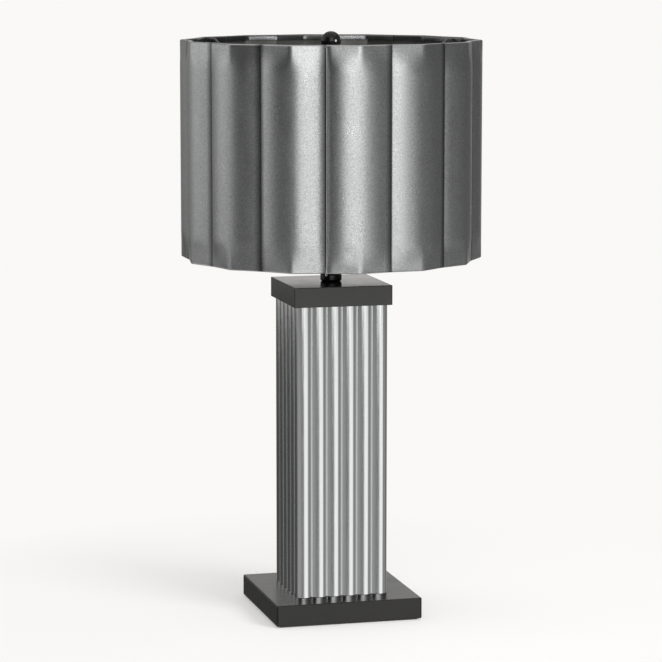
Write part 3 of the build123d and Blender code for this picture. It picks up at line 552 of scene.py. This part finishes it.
def lacquered_block(name, node, corner, edge, steps=6):
    """A square block with its corners and edges rounded as the CAD node's are."""
    low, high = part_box(node)
    levels = [(edge + BESIDE_ROUND, low.z)]
    for step in range(steps + 1):
        turn = step / steps * math.pi / 2
        levels.append((edge * (1 - math.sin(turn)), low.z + edge * (1 - math.cos(turn))))
    levels += [(0, low.z + edge + BESIDE_ROUND), (0, high.z - edge - BESIDE_ROUND)]
    for step in range(steps + 1):
        turn = step / steps * math.pi / 2
        levels.append((edge * (1 - math.cos(turn)), high.z - edge * (1 - math.sin(turn))))
    levels.append((edge + BESIDE_ROUND, high.z))
    loops = [
        square_loop(high.x - inset, corner - inset * CORNER_TIGHTENING, height)
        for inset, height in levels
    ]
    return skin(name, loops, caps=True, sharp_angle=40)


base_block = dress(
    lacquered_block("base_block", "base_plate", BASE_CORNER_RADIUS, BASE_EDGE_RADIUS),
    "root", "black_lacquer", lacquer, "base_plate",
)
# the column's lower end shows the studio right down to the base
base_block.visible_glossy = False
# the cap takes the lighter copy of the lacquer, which is painted light
dress(
    lacquered_block("cap_block", "cap_plate", CAP_CORNER_RADIUS, CAP_EDGE_RADIUS),
    "root", "black_lacquer", lit_cap_lacquer, "cap_plate",
)


# ---------------------------------------------------------------- shade
def smoothstep(share):
    """0 to 1 with a soft start and end."""
    share = max(0.0, min(1.0, share))
    return share * share * (3 - 2 * share)


shade_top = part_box("shade_upper_trim")[1].z
shade_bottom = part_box("shade_lower_trim")[0].z - HEM_DROP


def arch_at(height):
    """How far the cover has left the straight flanks of the rims, from 0 to 1, at that height."""
    from_top = smoothstep((shade_top - height) / UPPER_FLAT)
    return from_top * smoothstep((height - shade_bottom) / LOWER_FLAT)


def scallop_loop(inset, height, crease=0.0, steps=16):
    """The shade's outline at that height, moved in by inset along its own surface."""
    arch = arch_at(height) * SCALLOP_BULGE
    valley_radius = SHADE_RADIUS - SCALLOP_VALLEY_DEPTH
    across = SHADE_RADIUS * math.sin(half_scallop)
    out = SHADE_RADIUS * math.cos(half_scallop) - valley_radius
    turn = 2 * math.atan2(2 * arch, math.hypot(across, out))
    lean = math.atan2(out, across)
    valley = valley_radius - inset / math.cos(lean + turn)
    ridge = SHADE_RADIUS - inset / math.cos(half_scallop + lean - turn)
    corners = []
    for scallop in range(SCALLOPS):
        angle = SHADE_CLOCKING + 2 * half_scallop * scallop
        corners.append(Vector((math.cos(angle), math.sin(angle))) * valley)
        angle += half_scallop
        corners.append(Vector((math.cos(angle), math.sin(angle))) * ridge)
    points = []
    for index, (near, far) in enumerate(zip(corners, corners[1:] + corners[:1])):
        span = far - near
        outward = Vector((span.y, -span.x)).normalized()
        for step in range(steps):
            share = step / steps
            if index % 2 == 0:
                share = share**VALLEY_CROWDING
            else:
                share = 1 - (1 - share) ** VALLEY_CROWDING
            bow = 4 * arch * share * (1 - share)
            if index % 2:
                bow *= 1 - FLATTER_RIGHT * share
            point = near + span * share + outward * bow
            from_valley = (share if index % 2 == 0 else 1 - share) * span.length
            dip = 0
            if crease and index in CREASE_WIDTH:
                dip = crease * max(0.0, 1 - from_valley / CREASE_WIDTH[index]) ** 2
            point = point - point.normalized() * dip
            points.append((point.x, point.y, height))
    return points


def velvet_cover():
    """The cover and both its hems as one sheet, turned in over the rings."""
    hem_outside = TRIM_INSET + TRIM_THICKNESS
    top, bottom = shade_top, shade_bottom
    outside = rounded(
        [
            (hem_outside, bottom + TRIM_HEIGHT),
            (hem_outside, bottom),
            (0, bottom),
            (0, top),
            (hem_outside, top),
            (hem_outside, top - TRIM_HEIGHT),
        ],
        [HEM_TURN_ROUND, HEM_OUTER_ROUND, HEM_OUTER_ROUND, HEM_TURN_ROUND],
    )
    turn_inside = HEM_TURN_ROUND - TRIM_THICKNESS
    inside = rounded(
        [
            (TRIM_INSET, top - TRIM_HEIGHT),
            (TRIM_INSET, top - TRIM_THICKNESS),
            (COVER_THICKNESS, top - TRIM_THICKNESS),
            (COVER_THICKNESS, bottom + TRIM_THICKNESS),
            (TRIM_INSET, bottom + TRIM_THICKNESS),
            (TRIM_INSET, bottom + TRIM_HEIGHT),
        ],
        [turn_inside, HEM_INNER_ROUND, HEM_INNER_ROUND, turn_inside],
    )
    profile = divided(outside) + divided(inside)
    loops = [scallop_loop(inset, height, CREASE_DEPTH) for inset, height in profile]
    made = skin("velvet_cover", loops, closed=True, sharp_angle=60)
    # paints shade into the folds and into the hems' insides
    paint_velvet_shade(made.data)
    sharpen_valleys(made.data)
    return made


def paint_velvet_shade(mesh):
    """Paints shade into the velvet's colour: dark bands in the folds beside the valleys, and inside
    the hems.
    """
    painted_shade = mesh.attributes.new("painted_shade", "FLOAT", "POINT")
    wide = 2 * half_scallop * SHADE_RADIUS
    for vertex, value in zip(mesh.vertices, painted_shade.data):
        share = scallop_share(vertex.co)
        deep = scallop_number(vertex.co) == DARKEST_FOLD_SCALLOP
        left = share * wide / (DARKEST_FOLD_AFTER if deep else SHADE_PAINTED_AFTER)
        right = (1 - share) * wide / SHADE_PAINTED_BEFORE
        # painted shade on the velvet that is turned in inside the hems
        turned_in = flat_reach(share) - vertex.co.to_2d().length > HEM_SHADE_DEPTH
        value.value = max(0.0, 1 - left, 1 - right, HEM_PAINTED_SHADE if turned_in else 0)


def sharpen_valleys(mesh):
    """Makes the edges along each valley sharp. The ridges stay smooth."""
    shares = [scallop_share(vertex.co) for vertex in mesh.vertices]
    in_valley = [min(share, 1 - share) < VALLEY_SHARE for share in shares]
    sharp = mesh.attributes["sharp_edge"].data
    for edge in mesh.edges:
        if all(in_valley[corner] for corner in edge.vertices):
            sharp[edge.index].value = True


def scallop_turn(point):
    """How many scallops round the shade a point is."""
    return (math.atan2(point.y, point.x) - SHADE_CLOCKING) / (2 * half_scallop) % SCALLOPS


def scallop_number(point):
    """Which scallop a point is on."""
    return int(scallop_turn(point))


def scallop_share(point):
    """Where a point is round its scallop, from 0 at one valley to 1 at the next."""
    return scallop_turn(point) % 1.0


def flat_reach(share):
    """The radius of the rims' straight flanks at that share of a scallop."""
    turn = 2 * half_scallop * min(share, 1 - share)
    valley = SHADE_RADIUS - SCALLOP_VALLEY_DEPTH
    flank = math.atan2(
        SHADE_RADIUS * math.sin(half_scallop), SHADE_RADIUS * math.cos(half_scallop) - valley
    )
    return valley * math.sin(flank) / math.sin(flank - turn)


def shade_lining():
    """The stiff lining behind the cover."""
    outer = COVER_THICKNESS + LAMINATE_GAP
    inner = outer + BACKING_THICKNESS
    low = shade_bottom + TRIM_THICKNESS
    high = shade_top - TRIM_THICKNESS
    profile = divided([Vector((outer, low)), Vector((outer, high))])
    profile += divided([Vector((inner, high)), Vector((inner, low))])
    loops = [scallop_loop(inset, height, CREASE_DEPTH) for inset, height in profile]
    return skin("shade_lining", loops, closed=True, sharp_angle=24)


def loop_length(points):
    """The length of a closed outline."""
    return sum((Vector(a) - Vector(b)).length for a, b in zip(points, points[1:] + points[:1]))


cover = dress(
    velvet_cover(), "shade", "velvet", velvet,
    "shade_cover", "shade_upper_trim", "shade_lower_trim",
)
backing = dress(shade_lining(), "shade", "shade_lining", lining, "shade_backing")
middle_height = (shade_top + shade_bottom) / 2
loop_length(scallop_loop(0, middle_height))
loop_length(scallop_loop(COVER_THICKNESS, middle_height))


def thread(name, points, radius, body, slot, material):
    """A smooth thread through these points."""
    line = bpy.data.curves.new(name, "CURVE")
    line.dimensions = "3D"
    line.bevel_depth = radius
    line.bevel_resolution = 3
    spline = line.splines.new("NURBS")
    spline.points.add(len(points) - 1)
    for place, point in zip(spline.points, points):
        place.co = (*point, 1)
    spline.order_u = 3
    spline.use_endpoint_u = True
    made = bpy.data.objects.new(name, line)
    bpy.context.scene.collection.objects.link(made)
    dress(made, body, slot, material)


def beside_seam(height, beside, proud):
    """A point near the seam: beside it to the right, and proud of the valley's floor."""
    angle = SHADE_CLOCKING + 2 * half_scallop * SEAM_SCALLOP + beside / SHADE_RADIUS
    width = CREASE_WIDTH[2 * SEAM_SCALLOP - (beside < 0)]
    crease = CREASE_DEPTH * (1 - abs(beside) / width) ** 2
    reach = SHADE_RADIUS - SCALLOP_VALLEY_DEPTH - crease + proud
    return Vector((reach * math.cos(angle), reach * math.sin(angle), height))


def seam_edge():
    """The lapped edge, just short of both hems."""
    start, end = shade_top - SEAM_EDGE_SHORT, shade_bottom + SEAM_EDGE_SHORT
    heights = [start - (start - end) * step / SEAM_STEPS for step in range(SEAM_STEPS + 1)]
    points = [beside_seam(height, SEAM_EDGE_BESIDE, SEAM_EDGE_PROUD) for height in heights]
    thread("seam_edge", points, SEAM_EDGE_RADIUS, "shade", "velvet", selvedge)


def seam_loop():
    """The loose loop of thread at the seam's lower end."""
    points = [
        beside_seam(shade_bottom + rise * MM, beside * MM, proud * MM)
        for beside, rise, proud in SEAM_LOOP
    ]
    thread("seam_loop", points, SEAM_LOOP_RADIUS, "shade", "velvet", selvedge)


seam_edge()
seam_loop()


# ---------------------------------------------------------------- stage
def stage_material():
    """Pale paper: lit and shadowed near the lamp, and plain background colour further out."""
    made = bpy.data.materials.new("stage_paper")
    made.use_nodes = True
    tree = made.node_tree
    tree.nodes.clear()
    output = tree.nodes.new("ShaderNodeOutputMaterial")
    paper = tree.nodes.new("ShaderNodeBsdfDiffuse")
    paper.inputs["Color"].default_value = PAPER
    glow = tree.nodes.new("ShaderNodeEmission")
    glow.inputs["Color"].default_value = BACKGROUND
    dim = tree.nodes.new("ShaderNodeBsdfDiffuse")
    dim.inputs["Color"].default_value = DIM_PAPER
    place = tree.nodes.new("ShaderNodeTexCoord")
    far = tree.nodes.new("ShaderNodeVectorMath")
    far.operation = "LENGTH"
    tree.links.new(place.outputs["Object"], far.inputs[0])
    fade = ramp(tree, far.outputs["Value"], NEAR_GLOW, 1.0, FADE_START, FADE_END)
    seen = tree.nodes.new("ShaderNodeMixShader")
    tree.links.new(fade, seen.inputs["Fac"])
    tree.links.new(paper.outputs[0], seen.inputs[1])
    tree.links.new(glow.outputs[0], seen.inputs[2])
    rays = tree.nodes.new("ShaderNodeLightPath")
    shown = rays.outputs["Is Camera Ray"]
    for other in ("Is Glossy Ray", "Is Transmission Ray"):
        node = tree.nodes.new("ShaderNodeMath")
        node.operation = "MAXIMUM"
        tree.links.new(shown, node.inputs[0])
        tree.links.new(rays.outputs[other], node.inputs[1])
        shown = node.outputs[0]
    either = tree.nodes.new("ShaderNodeMixShader")
    tree.links.new(shown, either.inputs["Fac"])
    tree.links.new(dim.outputs[0], either.inputs[1])
    tree.links.new(seen.outputs[0], either.inputs[2])
    tree.links.new(either.outputs[0], output.inputs["Surface"])
    return made


def floor():
    """The paper under the lamp, which metal and lacquer don't mirror."""
    corners = [(-1, -1), (1, -1), (1, 1), (-1, 1)]
    verts = [(x * FLOOR_HALF, y * FLOOR_HALF, 0) for x, y in corners]
    made = link_mesh("floor", verts, [(0, 1, 2, 3)], 30)
    made.location.z = -FLOOR_DROP
    made.data.materials.append(stage_material())
    made.visible_glossy = False


# what stands round the lamp, where the camera itself sees plain white: degrees to the right of the
# camera's line as seen from the lamp, and the brightness there
UPPER_STUDIO = [
    (-180, 0.93), (-171, 0.4), (-158, 0.3), (-140, 0.34), (-126, 0.65), (-110, 1.15), (-92, 1.25),
    (-82, 0.95), (-64, 0.2), (-48, 0.04), (-26, 0.05), (-15, 0.6), (-6, 2.8), (18, 2.8),
    (30, 1.4), (44, 0.5), (60, 0.24), (85, 0.2), (110, 0.16), (150, 0.16), (166, 0.6), (180, 0.93),
]
# the same just below the horizon, in the band that the column and the blocks' fronts mirror
LOWER_STUDIO = [
    (-180, 0.93), (-168, 0.6), (-158, 0.1), (-100, 0.1), (-88, 0.22), (-72, 0.5), (-45, 0.52),
    (-28, 0.46), (-12, 0.32), (4, 0.32), (12, 0.55), (24, 1.5), (52, 1.58), (62, 0.7), (70, 0.34),
    (82, 0.42), (95, 0.46), (108, 0.28), (125, 0.24), (158, 0.24), (170, 0.9), (180, 0.93),
]
# the heights, as the upward part of a direction, where the studio changes
BAND_TOP = (-0.128, -0.118)
BAND_BOTTOM = (-0.32, -0.27)
FLOOR_BEGINS = (-0.8, -0.5)
CEILING_BEGINS = (0.6, 0.8)
FLOOR_GLOW = 0.8
OVERHEAD = 1.0


def world():
    """The studio, plain white where the camera looks past the lamp."""
    made = bpy.data.worlds.new("studio")
    bpy.context.scene.world = made
    made.use_nodes = True
    tree = made.node_tree
    background = tree.nodes["Background"]
    place = tree.nodes.new("ShaderNodeTexCoord")
    mapping = tree.nodes.new("ShaderNodeMapping")
    mapping.inputs["Rotation"].default_value = (0, 0, math.pi / 2 + CAMERA_AZIMUTH)
    tree.links.new(place.outputs["Generated"], mapping.inputs["Vector"])
    turn = tree.nodes.new("ShaderNodeTexGradient")
    turn.gradient_type = "RADIAL"
    tree.links.new(mapping.outputs["Vector"], turn.inputs["Vector"])
    upper = walls(tree, turn.outputs["Fac"], UPPER_STUDIO)
    lower = walls(tree, turn.outputs["Fac"], LOWER_STUDIO)
    upright = tree.nodes.new("ShaderNodeSeparateXYZ")
    tree.links.new(place.outputs["Generated"], upright.inputs["Vector"])
    height = ramp(tree, upright.outputs["Z"], 0, 1, *BAND_TOP)
    around = blend_values(tree, height, lower, upper)
    deep = ramp(tree, upright.outputs["Z"], 1, 0, *BAND_BOTTOM)
    around = blend_values(tree, deep, around, upper)
    below = ramp(tree, upright.outputs["Z"], 1, 0, *FLOOR_BEGINS)
    above = ramp(tree, upright.outputs["Z"], 0, 1, *CEILING_BEGINS)
    level = blend_values(tree, below, around, FLOOR_GLOW)
    level = blend_values(tree, above, level, OVERHEAD)
    rays = tree.nodes.new("ShaderNodeLightPath")
    level = blend_values(tree, rays.outputs["Is Camera Ray"], level, 1.0)
    tree.links.new(level, background.inputs["Strength"])
    background.inputs["Color"].default_value = BACKGROUND


def walls(tree, turn, stops):
    """The brightness round the lamp, between the given stops."""
    node = tree.nodes.new("ShaderNodeValToRGB")
    made = node.color_ramp.elements
    brightest = max(level for _, level in stops)
    while len(made) < len(stops):
        made.new(0.5)
    for stop, (degrees, _) in zip(made, stops):
        stop.position = degrees / 360 + 0.5
    for stop, (_, level) in zip(made, stops):
        stop.color = (level / brightest,) * 3 + (1,)
    tree.links.new(turn, node.inputs["Fac"])
    return ramp(tree, node.outputs["Color"], 0, brightest, 0, 1)


def blend_values(tree, share, near, far):
    """near where share is 0, far where it is 1."""
    node = tree.nodes.new("ShaderNodeMix")
    node.data_type = "FLOAT"
    tree.links.new(share, node.inputs[0])
    tree.links.new(near, node.inputs[2])
    if isinstance(far, bpy.types.NodeSocket):
        tree.links.new(far, node.inputs[3])
    else:
        node.inputs[3].default_value = far
    return node.outputs[0]


def softbox(name, azimuth, distance, height, size, power, aim_height, mirrored=False):
    """An area light that faces the lamp, at that azimuth to the right of the camera's line."""
    light = bpy.data.lights.new(name, "AREA")
    light.shape = "RECTANGLE"
    light.size, light.size_y = size
    light.energy = power
    made = bpy.data.objects.new(name, light)
    bpy.context.scene.collection.objects.link(made)
    turn = math.radians(azimuth) - CAMERA_AZIMUTH
    made.location = (math.sin(turn) * distance, -math.cos(turn) * distance, height)
    aim = Vector((0, 0, aim_height)) - made.location
    made.rotation_euler = aim.to_track_quat("-Z", "Y").to_euler()
    made.visible_camera = False
    made.visible_glossy = mirrored


def camera():
    """The camera at the photograph's viewing angle."""
    data = bpy.data.cameras.new("camera")
    data.lens = CAMERA_LENS
    data.sensor_width = SENSOR_WIDTH
    data.clip_end = 100
    made = bpy.data.objects.new("camera", data)
    bpy.context.scene.collection.objects.link(made)
    made.location = (
        -math.sin(CAMERA_AZIMUTH) * CAMERA_DISTANCE,
        -math.cos(CAMERA_AZIMUTH) * CAMERA_DISTANCE,
        CAMERA_HEIGHT,
    )
    made.rotation_euler = Euler((math.pi / 2 - CAMERA_PITCH, 0, -CAMERA_AZIMUTH))
    bpy.context.scene.camera = made


floor()
world()
softbox("key", azimuth=48, distance=2.2, height=1.5, size=(1.0, 1.0), power=38, aim_height=0.2)
# a small card beside the finial, for its highlight
softbox(
    "gleam", azimuth=54, distance=0.07, height=0.687, size=(0.022, 0.026), power=0.06,
    aim_height=0.681, mirrored=True,
)
camera()
bpy.context.scene.view_settings.view_transform = "Standard"
